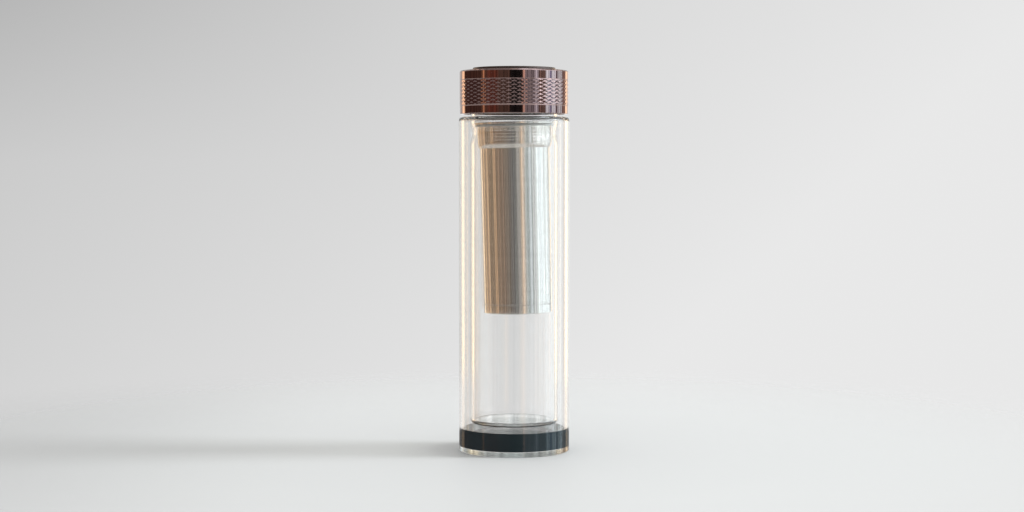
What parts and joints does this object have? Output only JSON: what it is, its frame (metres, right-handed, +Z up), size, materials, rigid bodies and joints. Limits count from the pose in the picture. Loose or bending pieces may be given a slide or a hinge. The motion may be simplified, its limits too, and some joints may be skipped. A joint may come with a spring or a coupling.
{
  "type": "tea infuser flask",
  "caption": "Double-walled clear glass tea flask with a steel infuser hanging in its neck and a knurled, mirror-plated screw lid.",
  "frame": {"origin": "centre of the base, on the surface it stands on", "axes": "+Z up along the flask's axis, +X to the right of its front, -Y towards the viewer"},
  "size_m": [0.067, 0.067, 0.2324],
  "materials": {
    "clear_glass": "clear, smooth",
    "black_plastic": "glossy black",
    "steel": "finely brushed",
    "silicone": "translucent white",
    "plated_metal": "dark rose-brown mirror plating",
    "pad": "foamed",
    "liner_plastic": "moulded, white"
  },
  "bodies": {
    "flask": {"outer_glass": "clear_glass", "base_insert": "black_plastic", "inner_glass": "clear_glass"},
    "lid_seal": {"lid_gasket": "silicone"},
    "lid": {"lid_shell": "plated_metal", "lid_top_disc": "plated_metal", "lid_pad": "pad", "lid_liner": "liner_plastic"},
    "infuser": {"infuser_cup": "steel", "infuser_collar": "steel", "infuser_seat_ring": "silicone", "infuser_filter": "steel", "infuser_base_ring": "steel"}
  },
  "joints": [
    {"name": "lid_rise", "type": "slide", "parent": "flask", "child": "lid_seal", "axis": [0, 0, 1], "range_m": [0, 0.03]},
    {"name": "lid_turn", "type": "hinge", "parent": "lid_seal", "child": "lid", "pos_m": [0, 0, 0.215], "axis": [0, 0, 1], "range_deg": [0, 900]},
    {"name": "infuser_lift", "type": "slide", "parent": "flask", "child": "infuser", "axis": [0, 0, 1], "range_m": [0, 0.022]}
  ],
  "couplings": [
    {"joint": "lid_rise", "follows": "lid_turn", "m_per_rad": 0.0019099}
  ]
}
